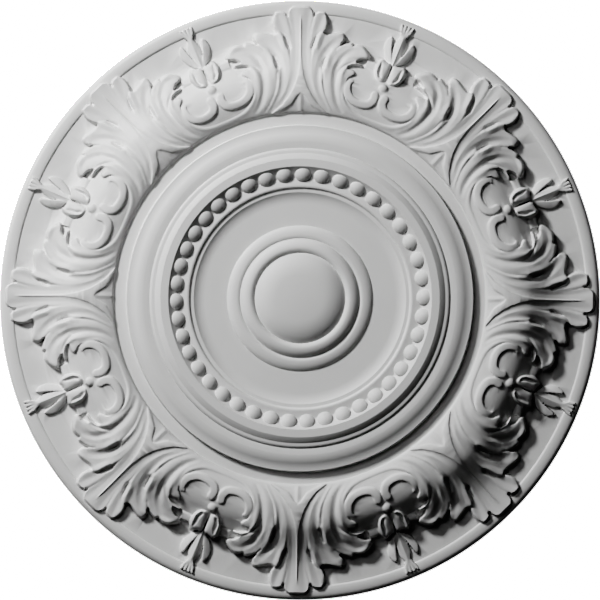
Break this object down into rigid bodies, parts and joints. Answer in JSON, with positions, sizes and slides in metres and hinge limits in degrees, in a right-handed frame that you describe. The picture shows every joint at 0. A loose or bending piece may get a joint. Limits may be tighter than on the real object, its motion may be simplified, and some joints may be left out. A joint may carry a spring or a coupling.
{
  "type": "ceiling rose",
  "caption": "Round cast ceiling rose with a domed centre, ring mouldings, a bead course and a border of draped acanthus leaves, flower sprays and scrolls; fixes to a ceiling by its flat back.",
  "frame": {"origin": "centre of the flat back, which goes against the ceiling", "axes": "+Z out of the ornamented face, +Y towards one of the leaves"},
  "size_m": [0.514, 0.514, 0.042],
  "materials": {
    "cast_white": "smooth factory-primed white casting, matt, unpainted"
  },
  "bodies": {
    "root": {"ceiling_rose": "cast_white"}
  },
  "joints": []
}
